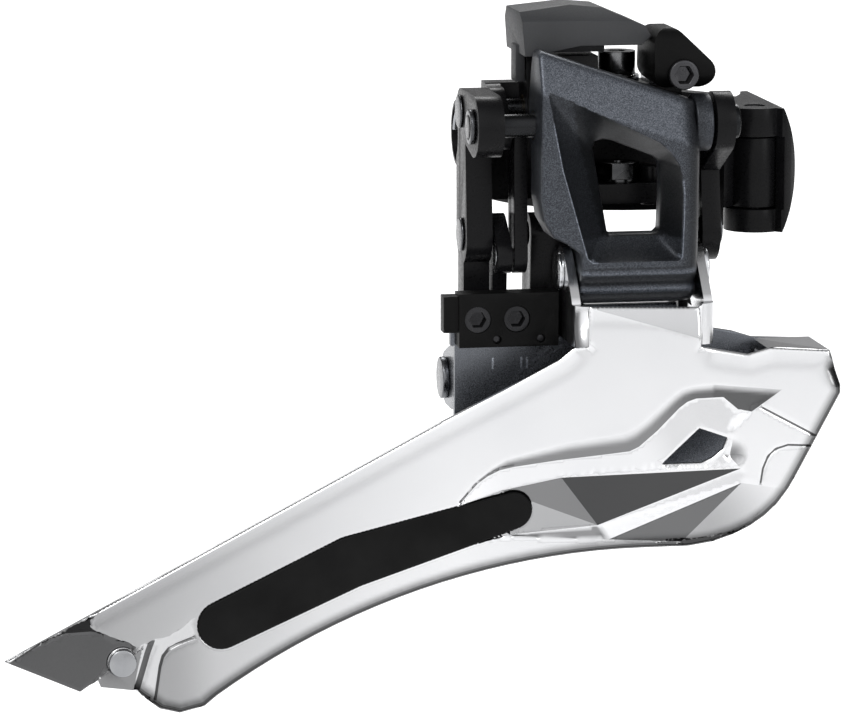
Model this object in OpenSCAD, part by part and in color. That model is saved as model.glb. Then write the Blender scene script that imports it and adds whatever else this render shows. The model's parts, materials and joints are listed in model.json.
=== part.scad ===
// Front derailleur for a double chainring, with a hinged seat-tube clamp.
// Frame: +X forward, +Y inboard (towards the bicycle), +Z up along the seat tube.
// Origin: centre of the seat-tube clamp. All lengths in millimetres.

/* [Clamp] */
// Diameter of the seat tube
tube_d = 34.9; // [34.4:0.1:35.2]
// Thickness of the clamp band
band_t = 2.4; // [2.2:0.1:2.6]
// Height of the clamp band
band_h = 12.8; // [12.6:0.1:13]

/* [Linkage] */
// Fore-aft span of the outer link at its top
link_span = 22.4; // [22:0.1:23]
// Radius of the pivot pins
pin_r = 1.6; // [1.4:0.1:1.8]
// Radial running clearance of the pins
run = 0.05; // [0.02:0.01:0.1]

/* [Cage] */
// Thickness of the cage sheet
sheet = 1.2; // [1:0.1:1.4]
// Clear width between the cage plates
cage_gap = 10.6; // [10:0.2:11]
// Radius of the arc along the cage's lower edge
arc_r = 103.7; // [103.4:0.1:104]

/* [Fasteners] */
// Radius of a limit screw
limit_r = 1.8; // [1.6:0.1:1.9]
// Width across flats of the 2 mm hexagon sockets
socket_af = 2.1; // [1.9:0.1:2.2]
// Radius of the clamp bolt
bolt_r = 2.5; // [2.3:0.1:2.6]

/* [Hidden] */
$fn = 64;

// Pivot axes, all parallel to X, as [y, z]
p_link_up = [-38, 8.2];
p_link_low = [-36, -12.1];
p_inner_up = [-29.5, -7.7];
p_inner_low = [-27.5, -28];
p_arm = [-28.5, 9.2];
crank = [-4.2, -2.5];
p_toggle_up = p_arm + crank;
p_toggle_low = p_inner_up + crank;

// Stations along X, from the rear to the front
x_rear_arm = [-27.8, -24.2];
x_rear_web = -26;
x_crank = [-23.9, -21.9];
x_toggle = [-21.6, -19.8];
x_inner_web = [-18.6, -11];
x_link = [-19.5, -19.5 + link_span];
x_front_arm = [5.2, 7.8];
x_ear_rear = [-15.2, -14.0];
x_ear_front = [3.1, 4.3];
x_flange_rear = [-29.6, -28.4];
x_flange_front = [5.2, 6.4];

// Cage planes, as [outer face, inner face] in y
y_outer = [-46, -46 + sheet];
y_inner = [-46 + sheet + cage_gap, -46 + 2 * sheet + cage_gap];
arc_centre = [-5.5, -153];

// Clamp
tube_r = tube_d / 2;
band_r = tube_r + band_t;
band_z = [-band_h / 2, band_h / 2];
hinge_turn = -51.7;
hinge_reach = 25.5;
lug_turn = -8;
lug_reach = 23.6;
lug_z = [-5.5, 3];
bolt_z = -1.25;
hinge_pin_r = 1.5;
knuckle_r = 4.2;
knuckle_mid = [-5.9, 3.8];
knuckle_z = [-9.4, 8.1];

// Fasteners, as [x, y] or [x, z]
base_nut_at = [-5, -26];
base_post_at = [-0.4, -26];
neck_rivet_x = [-11.4, -7.6];
neck_rivet_z = -19.3;
nose_rivet_x = [14.2, 18.6];
nose_rivet_z = -25.6;
tail_at = [-77, -62.4];
limit_x = [-27, -21.6];
limit_z = -18.4;
block_rivet_x = [-24.3, -18.2];
block_rivet_z = -21.2;

// Return spring, coiled about an axis along X
spring_axis = [-22.5, 5.5];
spring_wire_r = 0.35;
spring_coil_r = 3.2;
spring_turns = 2;
spring_pitch = 0.75;
spring_x = -26.9;
spring_steps = 60;
spring_sides = 8;
spring_cup_x = -24.9;

// Outer radius of the bends between a cage plate and its ears
bend_r = 2;

// ---- helpers ----

// Extrudes a (y, z) outline along X
module along_x(span) {
  translate([span[0], 0, 0])
    rotate([90, 0, 90])
      linear_extrude(span[1] - span[0])
        children();
}

// Extrudes an (x, z) outline along Y
module along_y(span) {
  translate([0, span[1], 0])
    rotate([90, 0, 0])
      linear_extrude(span[1] - span[0])
        children();
}

// Round bar along X through the (y, z) point p
module x_rod(span, p, r) {
  translate([span[0], p[0], p[1]])
    rotate([0, 90, 0])
      cylinder(h = span[1] - span[0], r = r);
}

// Round bar along Y through the (x, z) point p
module y_rod(span, p, r, fn = 64) {
  translate([p[0], span[1], p[1]])
    rotate([90, 0, 0])
      cylinder(h = span[1] - span[0], r = r, $fn = fn);
}

// Disc of an eye or boss in an (y, z) outline
module eye(p, r) {
  translate(p)
    circle(r);
}

// Tapered bar between two eyes, as an outline
module strut(p, q, rp, rq) {
  hull() {
    translate(p)
      circle(rp, $fn = 32);
    translate(q)
      circle(rq, $fn = 32);
  }
}

// Turns the clamp's own frame, with the hinge on its +X side, into place
module clamp_frame() {
  rotate([0, 0, hinge_turn])
    children();
}

// Turns the frame of the bolt's lugs, which lie on its -X side, into place
module lug_frame() {
  rotate([0, 0, hinge_turn + lug_turn])
    children();
}

// ---- base ----

module band_ring(span, r_out) {
  translate([0, 0, span[0]])
    difference() {
      cylinder(h = span[1] - span[0], r = r_out, $fn = 128);
      translate([0, 0, -1])
        cylinder(h = span[1] - span[0] + 2, r = tube_r, $fn = 128);
    }
}

module fixed_band() {
  difference() {
    union() {
      lug_frame()
        intersection() {
          band_ring(band_z, band_r);
          translate([-40, -80.6, -40])
            cube([80, 80, 80]);
        }
      lug_frame()
        translate([-27.4, -5.2, lug_z[0]])
          cube([9, 4.2, lug_z[1] - lug_z[0]]);
      clamp_frame()
        translate([hinge_reach, 0, knuckle_mid[0]])
          cylinder(h = knuckle_mid[1] - knuckle_mid[0], r = 3.6);
      clamp_frame()
        translate([18, -5.6, knuckle_mid[0]])
          cube([6.6, 5, knuckle_mid[1] - knuckle_mid[0]]);
    }
    clamp_frame()
      translate([hinge_reach, 0, -20])
        cylinder(h = 40, r = hinge_pin_r + run);
    lug_frame()
      translate([-lug_reach, 10, bolt_z])
        rotate([90, 0, 0])
          cylinder(h = 40, r = bolt_r + 0.35);
  }
}

// Side outline of the rear arm, in (y, z)
module rear_arm_outline() {
  strut(p_link_up, p_arm, 4.2, 3.2);
  strut(p_arm, p_inner_up, 3.2, 4);
  translate([-31, -20.5])
    square([4.2, 12]);
}

// Side outline of the web that joins the rear arm to the clamp, in (y, z)
module rear_web_outline() {
  strut(spring_axis, [-24, -1], 4.2, 3);
  translate([-27, -4])
    square([8, 11]);
}

// Side outline of the front arm, in (y, z)
module front_arm_outline() {
  strut(p_link_up, [-28, 3], 4.2, 4);
  strut([-28, 3], p_inner_up, 4, 4.4);
  translate([-27, -4])
    square([8, 9]);
}

module base_member() {
  color("#1f2022")
    union() {
      difference() {
        union() {
          fixed_band();
          along_x(x_rear_arm)
            rear_arm_outline();
          along_x([x_rear_web, x_rear_arm[1]])
            rear_web_outline();
          along_x(x_front_arm)
            front_arm_outline();
          along_x([x_rear_web, x_front_arm[1]])
            translate([-22.6, -4])
              square([4, 9.6]);
          along_x([-12, 3.6])
            translate([-29.6, -4])
              square([8, 2.7]);
          x_rod([-27.2, x_rear_arm[1]], spring_axis, 4.6);
        }
        x_rod([-30, spring_cup_x], spring_axis, 4.1);
        x_rod([-40, 20], p_link_up, pin_r);
        x_rod([-40, 20], p_inner_up, pin_r);
        x_rod([-40, -20], p_arm, pin_r);
        translate([0, 0, -20])
          cylinder(h = 40, r = tube_r, $fn = 128);
        translate([base_nut_at[0], base_nut_at[1], -10])
          cylinder(h = 12, r = 1.5);
        translate([base_post_at[0], base_post_at[1], -10])
          cylinder(h = 12, r = 1.4);
      }
      x_rod([-26.6, x_rear_arm[1]], spring_axis, 2.4);
    }
}

module base_nut() {
  color("#c9cbcd")
    difference() {
      translate([base_nut_at[0], base_nut_at[1], -1.3])
        union() {
          cylinder(h = 0.5, r = 2.8);
          translate([0, 0, 0.5])
            cylinder(h = 2.2, r = 2.9, $fn = 6);
          translate([0, 0, -2.5])
            cylinder(h = 2.6, r = 1.5);
        }
      translate([base_nut_at[0], base_nut_at[1], -0.4])
        cylinder(h = 3, r = 1.2);
    }
}

module base_post() {
  color("#2a2b2d")
    translate([base_post_at[0], base_post_at[1], -4.6])
      union() {
        cylinder(h = 4, r = 1.4);
        translate([0, 0, 3.3])
          cylinder(h = 2, r = 1.5);
      }
}

module outer_pivot_pin() {
  color("#b9bcc0")
    union() {
      x_rod([x_rear_arm[0] - 0.8, 8.4], p_link_up, pin_r);
      x_rod([7.8, 8.9], p_link_up, 2.4);
    }
}

module inner_pivot_pins() {
  color("#b9bcc0") {
    union() {
      x_rod([x_rear_arm[0] - 0.4, x_crank[1] + 0.1], p_inner_up, pin_r);
      x_rod([x_rear_arm[0] - 0.4, x_rear_arm[0]], p_inner_up, 2.3);
    }
    union() {
      x_rod([2.4, 8.4], p_inner_up, pin_r);
      x_rod([7.8, 8.6], p_inner_up, 2.3);
    }
  }
}

module arm_pivot_pin() {
  color("#b9bcc0")
    union() {
      x_rod([x_rear_arm[0] - 0.4, -8.4], p_arm, pin_r);
      x_rod([x_rear_arm[0] - 0.4, x_rear_arm[0]], p_arm, 2.3);
    }
}

// Middle of the spring's wire, step by step along the helix
function spring_point(i) =
  let (a = 360 * spring_turns * i / spring_steps)
    [spring_x + spring_pitch * spring_turns * i / spring_steps,
     spring_axis[0] + spring_coil_r * cos(a),
     spring_axis[1] + spring_coil_r * sin(a)];

function spring_ring(i) =
  let (a = 360 * spring_turns * i / spring_steps, c = spring_point(i))
    [for (k = [0 : spring_sides - 1])
      let (b = 360 * k / spring_sides)
        c + spring_wire_r * [sin(b), cos(b) * cos(a), cos(b) * sin(a)]];

module return_spring() {
  points = [for (i = [0 : spring_steps]) each spring_ring(i)];
  sides = [
    for (i = [0 : spring_steps - 1], k = [0 : spring_sides - 1])
      let (n = (k + 1) % spring_sides)
        [i * spring_sides + k, i * spring_sides + n,
         (i + 1) * spring_sides + n, (i + 1) * spring_sides + k]
  ];
  first = [for (k = [spring_sides - 1 : -1 : 0]) k];
  last = [for (k = [0 : spring_sides - 1]) spring_steps * spring_sides + k];
  color("#8f9296")
    polyhedron(points, concat([first], sides, [last]));
}

// ---- clamp ----

module clamp_hinge_pin() {
  color("#5a5c60")
    clamp_frame()
      translate([hinge_reach, 0, knuckle_z[0] + 0.2])
        cylinder(h = knuckle_z[1] - knuckle_z[0] - 0.4, r = hinge_pin_r);
}

module clamp_band() {
  color("#1f2022")
    difference() {
      union() {
        intersection() {
          lug_frame()
            band_ring(band_z, band_r);
          clamp_frame()
            translate([-40, 0.6, -40])
              cube([80, 80, 80]);
          lug_frame()
            translate([-40, 0.6, -40])
              cube([80, 80, 80]);
        }
        lug_frame()
          translate([-27.4, 1, lug_z[0]])
            cube([9, 4.2, lug_z[1] - lug_z[0]]);
        clamp_frame()
          translate([hinge_reach, 0, knuckle_z[0]])
            cylinder(h = knuckle_z[1] - knuckle_z[0], r = knuckle_r);
        clamp_frame()
          translate([0, 0, knuckle_z[0]])
            linear_extrude(knuckle_z[1] - knuckle_z[0])
              hinge_cheek();
      }
      clamp_frame() {
        translate([hinge_reach, 0, knuckle_mid[0] - 0.3])
          cylinder(h = knuckle_mid[1] - knuckle_mid[0] + 0.6, r = knuckle_r - 0.3);
        translate([hinge_reach - 6, -8, knuckle_mid[0] - 0.3])
          cube([12, 8, knuckle_mid[1] - knuckle_mid[0] + 0.6]);
        translate([hinge_reach, 0, -20])
          cylinder(h = 40, r = hinge_pin_r);
      }
      lug_frame()
        translate([-lug_reach, 40, bolt_z])
          rotate([90, 0, 0])
            cylinder(h = 50, r = bolt_r + run);
      translate([0, 0, -20])
        cylinder(h = 40, r = tube_r, $fn = 128);
      cheek_trim();
    }
}

// Outline of the cheek that wraps the knuckle on its outer side
module hinge_cheek() {
  difference() {
    hull() {
      translate([hinge_reach + 0.6, 1.2])
        circle(5, $fn = 32);
      translate([14.8, 12.2])
        circle(1.2, $fn = 32);
      translate([18.4, 2.2])
        circle(1.4, $fn = 32);
    }
    translate([hinge_reach - 8, -10])
      square([16, 9.6]);
    circle(tube_r + 0.7, $fn = 128);
  }
}

// Rounds the cheek's upper and lower corners, as seen from the side
module cheek_trim() {
  translate([2, 0, -0.6])
    rotate([90, 0, 0])
      difference() {
        translate([8, -16, -40])
          cube([24, 32, 80]);
        translate([0, 0, -41])
          cylinder(h = 82, r = 19.1, $fn = 96);
      }
}

module clamp_bolt() {
  color("#3a3b3e")
    lug_frame()
      translate([-lug_reach, 0, bolt_z])
        rotate([-90, 0, 0])
          difference() {
            union() {
              translate([0, 0, -4.8])
                cylinder(h = 12, r = bolt_r);
              translate([0, 0, 6])
                cylinder(h = 4, r = 4);
            }
            translate([0, 0, 7.4])
              cylinder(h = 4, r = 2.3, $fn = 6);
          }
}

module clamp_bolt_washer() {
  color("#5a5c60")
    lug_frame()
      translate([-lug_reach, 5.2, bolt_z])
        rotate([-90, 0, 0])
          difference() {
            cylinder(h = 0.8, r = 4.4);
            translate([0, 0, -1])
              cylinder(h = 3, r = bolt_r + 0.1);
          }
}

// ---- outer link ----

// Side outline of the outer link, in (y, z)
module outer_link_side() {
  polygon([
    [-44, 14], [-42.2, 18.2], [-38.5, 18.6], [-36.2, 16.5], [-34.2, 11],
    [-36.4, 2], [-35.4, -8], [-34.4, -14.4], [-38.5, -15.2], [-42.6, -12.6],
    [-43.6, -4]
  ]);
  eye(p_link_up, 4);
  eye(p_link_low, 3.6);
}

// Front outline of the outer link, in (x, z)
module outer_link_front() {
  polygon([
    [-19.5, 18.4], [-19, 18.6], [x_link[1], 11.2], [x_link[1], -15.6],
    [-13.7, -15.6], [-13.7, -6.8], [-17.6, -6.8], [-18.9, -4.5]
  ]);
}

// Big window outline at the outer face
module link_pocket() {
  polygon([
    [-17.2, 12.6], [-15.2, 13], [-2.8, 7.4], [0.4, 2.6], [0.4, -6.4],
    [-9.6, -7], [-13.4, -3.4]
  ]);
}

// Smaller window that goes right through
module link_window() {
  polygon([[-10.6, 5.2], [-1.9, 5.2], [-1.9, -7], [-9.4, -7]]);
}

module outer_link() {
  color("#3b424a")
    difference() {
      union() {
        intersection() {
          along_x([-20, 3.5])
            outer_link_side();
          along_y([-50, -30])
            outer_link_front();
        }
        x_rod([x_link[0], 4.8], p_link_up, 4);
      }
      along_y([-50, -41.6])
        link_pocket();
      along_y([-50, -30])
        link_window();
      x_rod([-40, 20], p_link_up, pin_r + 0.6);
      x_rod([-40, 20], p_link_low, pin_r + run);
    }
}

module outer_link_bushes() {
  color("#b08a4a")
    for (span = [[x_link[0], -15.5], [0.8, 4.8]])
      difference() {
        x_rod(span, p_link_up, pin_r + 0.6);
        x_rod([span[0] - 1, span[1] + 1], p_link_up, pin_r + run);
      }
}

// ---- inner link ----

module inner_link() {
  color("#232427")
    difference() {
      union() {
        along_x(x_crank) {
          strut(p_inner_up, p_inner_low, 2.8, 3.2);
          strut(p_inner_up, p_toggle_low, 2.8, 2.4);
        }
        along_x(x_inner_web)
          strut(p_inner_up, p_inner_low, 2.8, 3.2);
        along_x([2.4, 4.9])
          strut(p_inner_up, p_inner_low, 2.8, 3.2);
        x_rod([-28.2, 4.9], p_inner_low, 3.2);
      }
      x_rod([-40, 20], p_inner_up, pin_r + run);
      x_rod([-40, 20], p_inner_low, pin_r + 0.6);
      x_rod([-40, 20], p_toggle_low, 1);
    }
}

module inner_link_bushes() {
  color("#b08a4a")
    for (span = [[-28.2, -24.2], [0.9, 4.9]])
      difference() {
        x_rod(span, p_inner_low, pin_r + 0.6);
        x_rod([span[0] - 1, span[1] + 1], p_inner_low, pin_r + run);
      }
}

// ---- cable arm ----

arm_top = 12.6;
arm_shelf_x = 2.6;
cable_bolt_at = [-5.4, -26];
tension_at = [1.3, 14.7];
tension_r = limit_r + 0.25;

// Side outline of the arm's main body, in (y, z)
module arm_body_side() {
  eye(p_arm, 3.5);
  polygon([
    [-32, 10.4], [-31.5, 16.8], [-24.6, 16.8], [-22.2, 14.4], [-22.2, 10.2], [-25, 9.4]
  ]);
}

module cable_arm() {
  color("#26272a")
    difference() {
      union() {
        along_x([x_crank[0], x_crank[1]]) {
          strut(p_arm, p_toggle_up, 3.2, 2.4);
          strut(p_arm, [-24.8, 11], 3, 1.9);
        }
        along_x([x_crank[0], -18])
          translate([-26.2, 9.2])
            square([3.2, 3.6]);
        along_x([-19.2, -9.2])
          arm_body_side();
        along_x([-9.3, arm_shelf_x])
          translate([-31.5, 9.8])
            square([9.3, arm_top - 9.8]);
      }
      x_rod([-40, 20], p_arm, pin_r + 0.6);
      x_rod([-40, -20], p_toggle_up, 1);
      translate([cable_bolt_at[0], cable_bolt_at[1], 0])
        cylinder(h = 40, r = 2);
    }
}

module arm_bushes() {
  color("#b08a4a")
    for (span = [[-23.9, -21.9], [-19.2, -15.2], [-13.2, -9.2]])
      difference() {
        x_rod(span, p_arm, pin_r + 0.6);
        x_rod([span[0] - 1, span[1] + 1], p_arm, pin_r + run);
      }
}

// Front outline of the cover, in (x, z)
module cover_front() {
  polygon([
    [-20.6, 23.2], [-13.4, 24], [-9, 23.6], [-3.4, 21.2], [-2.6, 19.8], [-4, 18.6],
    [-12.4, 18.6], [-19.4, 17.3], [-20.2, 17.3]
  ]);
}

module arm_cover() {
  color("#55575b")
    union() {
      intersection() {
        along_y([-36, -22])
          cover_front();
        along_x([-24, 0])
          polygon([
            [-35.6, 17], [-35.2, 22], [-32, 24.2], [-25, 24.2], [-22.4, 21.6], [-22.4, 17.2]
          ]);
      }
      translate([-20.6, -31, 13.4])
        cube([1.3, 3.4, 5]);
      translate([-18, -30, 17.2])
        cube([10, 7, 2]);
    }
}

// Side outline of the lever, in (y, z)
module lever_side() {
  hull() {
    translate([-34.6, 18.6])
      circle(2.6, $fn = 32);
    translate([-35.2, 15.5])
      circle(2.8, $fn = 32);
    translate([-28.8, 18.6])
      circle(2.2, $fn = 32);
    translate([-28.6, 15.5])
      circle(2, $fn = 32);
  }
}

// Front outline of the lever, in (x, z)
module lever_front() {
  hull() {
    translate([-0.3, 18.7])
      circle(2.3, $fn = 32);
    translate([3.5, 15])
      circle(2.3, $fn = 32);
    translate([-0.4, 15])
      circle(2.3, $fn = 32);
  }
}

module tension_lever() {
  color("#232427")
    difference() {
      intersection() {
        along_x([-4, 8])
          lever_side();
        along_y([-40, -24])
          lever_front();
      }
      y_rod([-40, -29], tension_at, tension_r + run);
    }
}

module tension_screw() {
  color("#3a3b3e")
    difference() {
      y_rod([-38.6, -31.6], tension_at, tension_r);
      y_rod([-39, -36.4], tension_at, 1.1 * socket_af / sqrt(3), 6);
    }
}

module cable_plate() {
  color("#6d7074")
    difference() {
      translate([-1.4, -30.4, arm_top])
        cube([6.1, 7, 0.65]);
      translate([1, -25.2, 10])
        cylinder(h = 5, r = 0.9);
    }
}

module cable_washer() {
  color("#d2d4d6")
    difference() {
      translate([cable_bolt_at[0], cable_bolt_at[1], arm_top])
        cylinder(h = 1.1, r = 3.1);
      translate([cable_bolt_at[0], cable_bolt_at[1], arm_top - 1])
        cylinder(h = 4, r = 2.05);
    }
}

module cable_bolt() {
  color("#d2d4d6")
    difference() {
      union() {
        translate([cable_bolt_at[0], cable_bolt_at[1], 10])
          cylinder(h = 4, r = 1.95);
        translate([cable_bolt_at[0], cable_bolt_at[1], arm_top + 1.1])
          cylinder(h = 3.2, r = 2.6);
      }
      translate([cable_bolt_at[0], cable_bolt_at[1], 15])
        cylinder(h = 3, r = 1.4, $fn = 6);
    }
}

// ---- toggle link ----

module toggle_link() {
  color("#2c2d30")
    difference() {
      along_x(x_toggle)
        strut(p_toggle_up, p_toggle_low, 2.4, 2.4);
      x_rod([-40, 20], p_toggle_up, 1 + run);
      x_rod([-40, 20], p_toggle_low, 1 + run);
    }
}

module toggle_top_rivet() {
  color("#c4c6c9")
    union() {
      x_rod([-24.1, -19.7], p_toggle_up, 1);
      x_rod([-24.1, -23.9], p_toggle_up, 1.5);
    }
}

module toggle_low_rivet() {
  color("#c4c6c9")
    union() {
      x_rod([-24.1, -19.7], p_toggle_low, 1);
      x_rod([-24.1, -23.9], p_toggle_low, 1.5);
    }
}

// ---- cage ----

// Lower edge that follows the chainring, as points on an arc
function ring_arc(from_deg, to_deg, steps) = [
  for (i = [0 : steps])
    let (a = from_deg + (to_deg - from_deg) * i / steps)
      arc_centre + arc_r * [cos(a), sin(a)]
];

// Outline of the outer plate, in (x, z)
module outer_plate_outline() {
  polygon(concat(
    [
      [-92.8, -61.6], [-33.7, -31], [-24.8, -26.7], [-17.2, -22.8], [-15.2, -21.2],
      [x_ear_rear[0] + bend_r, -21], [x_ear_rear[0] + bend_r, -15.6],
      [x_ear_front[1] - bend_r, -16.2], [x_ear_front[1] - bend_r, -21.6],
      [9, -22.9], [12.4, -22],
      [20.4, -22.6], [22.1, -27.6], [22.1, -28.6], [18.5, -35.3], [16.3, -39.4],
      [15, -41.7], [13.5, -43.7], [11.7, -45.4], [9.6, -46.8], [7.2, -47.9], [4.4, -48.8], [1, -49.3]
    ],
    ring_arc(90, 124.5, 20),
    [
      [-65.9, -68.9], [-69.3, -69.7], [-72, -69], [-75.6, -66.2], [-74.4, -60.6],
      [-82.8, -66.1]
    ]
  ));
}

// Slot that the outer insert fills
module skid_slot() {
  hull() {
    translate([-23.6, -43.3])
      circle(2.5, $fn = 32);
    translate([-46, -49.6])
      circle(3.5, $fn = 32);
  }
  hull() {
    translate([-46, -49.6])
      circle(3.5, $fn = 32);
    translate([-63.6, -57.6])
      circle(3.2, $fn = 32);
  }
}

// Side outline of an ear on the outer plate, in (y, z)
module outer_ear_outline() {
  strut(p_link_low, [-40.8, -17], 3.4, 3.2);
  translate([y_outer[0] + bend_r, -21.2])
    square([y_inner[0] - y_outer[0] - bend_r, 3.8]);
  translate([y_outer[0] + bend_r, -21.2])
    square([4, 5.6]);
}

// Quarter-round bend from the plate into an ear, on the side that turn gives
module ear_bend(x, turn) {
  translate([x, y_outer[0] + bend_r, -21.2])
    intersection() {
      difference() {
        cylinder(h = 5.6, r = bend_r);
        translate([0, 0, -1])
          cylinder(h = 8, r = bend_r - sheet);
      }
      translate([turn < 0 ? -bend_r : 0, -bend_r, -1])
        cube([bend_r, bend_r, 8]);
    }
}

// The slanted opening in the nose of the outer plate
module cage_window() {
  polygon([[-3, -37.7], [2.3, -32.9], [6.2, -34.3], [5.6, -35.9], [4.2, -37], [2.6, -37.7]]);
}
module outer_plate() {
  color("#c6c8ca")
    difference() {
      union() {
        along_y(y_outer)
          outer_plate_outline();
        intersection() {
          union() {
            along_x(x_ear_rear)
              outer_ear_outline();
            along_x(x_ear_front)
              outer_ear_outline();
          }
          translate([-50, y_outer[0] + bend_r, -50])
            cube([100, 20, 60]);
        }
        ear_bend(x_ear_rear[0] + bend_r, -1);
        ear_bend(x_ear_front[1] - bend_r, 1);
        translate([x_ear_rear[0], y_inner[0] - sheet, -21.2])
          cube([9.6, sheet, 3.6]);
        translate([12.4, y_outer[0], -23.8])
          cube([8, y_inner[0] - y_outer[0], sheet]);
        translate([12.4, y_inner[0] - sheet, -27.2])
          cube([8, sheet, 4.2]);
        along_y([-45.4, -44.2])
          polygon([[-82, -60.6], [-73, -58.6], [-73, -66.6], [-80, -65.6]]);
      }
      along_y([-50, -40])
        skid_slot();
      along_y([-50, -40])
        cage_window();
      x_rod([-40, 20], p_link_low, pin_r);
      y_rod([-50, -40], tail_at, 1);
      y_rod([-50, -45.4], tail_at, 2);
      for (x = neck_rivet_x)
        y_rod([y_inner[0] - 2, y_inner[1]], [x, neck_rivet_z], 0.8);
      for (x = nose_rivet_x)
        y_rod([y_inner[0] - 3, y_inner[1]], [x, nose_rivet_z], 0.8);
    }
}

module outer_skid() {
  color("#17181a")
    intersection() {
      along_y([-46.2, -44.3])
        skid_slot();
      translate([-80, -50, -80])
        cube([100, 20, 60]);
    }
}

// Outline of the inner plate, in (x, z)
module inner_plate_outline() {
  polygon(concat(
    [
      [-86, -62.9], [x_flange_rear[0], -34], [x_flange_rear[0], -22.4], [-30.2, -22.4],
      [-30.2, -15.6], [-17, -15.6], [-17, -22.4], [-13.7, -21], [-13.7, -17.3],
      [1.5, -17.3], [1.8, -20.2], [9.6, -21.6], [12.4, -22.5], [20.4, -22.9],
      [22.1, -28.6], [18.5, -35.3],
      [14.4, -43], [10.8, -46.2], [6, -48.6], [1, -49.3]
    ],
    ring_arc(90, 124.5, 20),
    [[-65.9, -68.9], [-69.3, -69.4], [-75.6, -66.6], [-82, -65.4]]
  ));
}

// Side outline of a flange on the inner plate, in (y, z)
module inner_flange_outline() {
  strut(p_inner_low, [-31, -27.4], 3.8, 4.4);
  translate([y_inner[0], -31.4])
    square([3, 8.6]);
}

module inner_plate() {
  color("#5d6166")
    difference() {
      union() {
        along_y(y_inner)
          inner_plate_outline();
        intersection() {
          union() {
            along_x(x_flange_rear)
              inner_flange_outline();
            along_x(x_flange_front)
              inner_flange_outline();
          }
          translate([-50, y_inner[0], -50])
            cube([100, 20, 60]);
        }
      }
      x_rod([-40, 20], p_inner_low, pin_r);
      for (x = limit_x)
        y_rod([-40, -20], [x, limit_z], limit_r + 0.2);
      for (x = nose_rivet_x)
        y_rod([-40, -20], [x, nose_rivet_z], 0.8);
      for (x = neck_rivet_x)
        y_rod([-40, -20], [x, neck_rivet_z], 0.8);
      for (x = block_rivet_x)
        y_rod([-40, -20], [x, block_rivet_z], 0.6);
      y_rod([-40, -20], tail_at, 1);
    }
}

module inner_skid() {
  color("#1b1c1e")
    along_y([y_inner[0] - 0.7, y_inner[0]])
      hull() {
        translate([-20, -44])
          circle(2.6, $fn = 32);
        translate([-62, -58])
          circle(2.6, $fn = 32);
      }
}

module tail_spacer() {
  color("#a9acb0")
    difference() {
      y_rod([-44.2, y_inner[0]], tail_at, 2.2);
      y_rod([-50, -20], tail_at, 1);
    }
}

module tail_rivet() {
  color("#cfd1d3")
    union() {
      y_rod([-45.6, y_inner[1] + 0.6], tail_at, 1);
      y_rod([-46, -45.4], tail_at, 1.9);
      y_rod([y_inner[1], y_inner[1] + 0.8], tail_at, 1.8);
    }
}

module nose_rivets() {
  color("#a9acb0")
    for (x = nose_rivet_x)
      union() {
        y_rod([y_inner[0] - sheet, y_inner[1]], [x, nose_rivet_z], 0.8);
        y_rod([y_inner[1], y_inner[1] + 0.6], [x, nose_rivet_z], 1.5);
      }
}

module neck_rivets() {
  color("#a9acb0")
    for (x = neck_rivet_x)
      union() {
        y_rod([y_inner[0] - sheet, y_inner[1]], [x, neck_rivet_z], 0.8);
        y_rod([y_inner[1], y_inner[1] + 0.6], [x, neck_rivet_z], 1.4);
        y_rod([y_inner[0] - sheet - 0.6, y_inner[0] - sheet], [x, neck_rivet_z], 1.4);
      }
}

module cage_pivot_pin() {
  color("#c4c6c9")
    union() {
      x_rod([-15.4, 4.6], p_link_low, pin_r);
      x_rod([-15.9, x_ear_rear[0]], p_link_low, 2.7);
      x_rod([x_ear_front[1], 5.1], p_link_low, 2.9);
    }
}

module inner_cage_pin() {
  color("#8a8d92")
    union() {
      x_rod([-29.8, 6.6], p_inner_low, pin_r);
      x_rod([-30.5, x_flange_rear[0]], p_inner_low, 2.9);
      x_rod([x_flange_front[1], 7.2], p_inner_low, 2.6);
    }
}

// ---- limit screws ----

module limit_block() {
  color("#1b1c1e")
    difference() {
      union() {
        translate([-29.6, -37.6, -22.2])
          cube([13.8, 3.4, 7.4]);
        translate([-31.6, -36.8, -20.2])
          cube([2.2, 2.6, 5]);
      }
      for (x = limit_x)
        y_rod([-40, -20], [x, limit_z], limit_r + run);
      for (x = block_rivet_x)
        y_rod([-40, -20], [x, block_rivet_z], 0.6);
    }
}

module block_rivets() {
  color("#5a5c60")
    for (x = block_rivet_x)
      union() {
        y_rod([-37, y_inner[1]], [x, block_rivet_z], 0.6);
        y_rod([y_inner[1], y_inner[1] + 0.5], [x, block_rivet_z], 1.1);
      }
}

module limit_screw(x) {
  color("#45474a")
    difference() {
      y_rod([-37.4, -32.2], [x, limit_z], limit_r);
      y_rod([-38, -35.4], [x, limit_z], socket_af / sqrt(3), 6);
    }
}

module low_limit_screw() {
  limit_screw(limit_x[0]);
}

module high_limit_screw() {
  limit_screw(limit_x[1]);
}

module pin_clips() {
  color("#77797d")
    difference() {
      x_rod([x_rear_arm[0] - 0.7, x_rear_arm[0]], p_link_up, 2.4);
      x_rod([x_rear_arm[0] - 1, x_rear_arm[1]], p_link_up, pin_r);
    }
}

base_member();
base_nut();
base_post();
outer_pivot_pin();
inner_pivot_pins();
arm_pivot_pin();
return_spring();
clamp_hinge_pin();
clamp_band();
clamp_bolt();
clamp_bolt_washer();
outer_link();
outer_link_bushes();
inner_link();
inner_link_bushes();
cable_arm();
arm_bushes();
arm_cover();
tension_lever();
tension_screw();
cable_plate();
cable_washer();
cable_bolt();
toggle_link();
toggle_top_rivet();
toggle_low_rivet();
outer_plate();
inner_plate();
outer_skid();
inner_skid();
tail_spacer();
tail_rivet();
nose_rivets();
neck_rivets();
cage_pivot_pin();
inner_cage_pin();
limit_block();
block_rivets();
low_limit_screw();
high_limit_screw();
pin_clips();
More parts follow.
